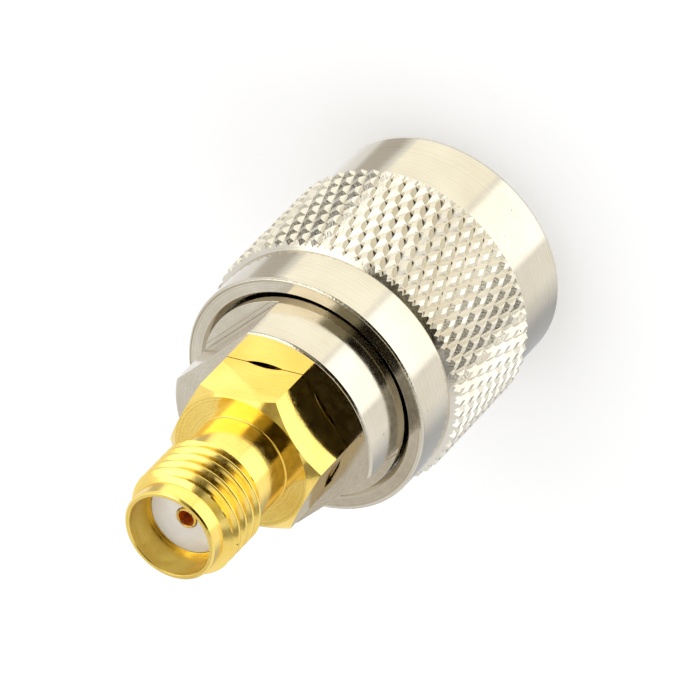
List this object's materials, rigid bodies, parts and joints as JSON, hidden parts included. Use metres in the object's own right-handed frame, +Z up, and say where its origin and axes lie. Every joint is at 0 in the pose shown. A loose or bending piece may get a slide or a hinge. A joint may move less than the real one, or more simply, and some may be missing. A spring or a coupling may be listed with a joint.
{
  "type": "sma adapter",
  "caption": "Coaxial adapter with a gilt SMA jack on a hexagon and a nickel-plated TNC plug with a knurled coupling nut that turns.",
  "frame": {"origin": "centre of the coupling nut's front face, on which the part stands", "axes": "+Z up the common axis from the plug to the mouth of the jack, +X square to one wrench flat of the body"},
  "size_m": [0.0152, 0.0152, 0.0292],
  "materials": {
    "gold_plate": "polished",
    "contact_gold": "polished",
    "body_nickel": "polished",
    "nut_nickel": "polished",
    "sleeve_nickel": "polished",
    "spring_steel": "satin",
    "ptfe_white": "satin",
    "ptfe_cream": "satin",
    "silicone_red": "matte"
  },
  "bodies": {
    "adapter": {"sma_body": "gold_plate", "tnc_body": "body_nickel", "snap_ring": "spring_steel", "outer_contact": "sleeve_nickel", "gasket": "silicone_red", "tnc_insulator": "ptfe_cream", "sma_insulator": "ptfe_white", "centre_contact": "contact_gold"},
    "nut": {"coupling_nut": "nut_nickel"}
  },
  "joints": [
    {"name": "nut_spin", "type": "hinge", "parent": "adapter", "child": "nut", "pos_m": [0, 0, 0.0075], "axis": [0, 0, 1], "continuous": true}
  ]
}
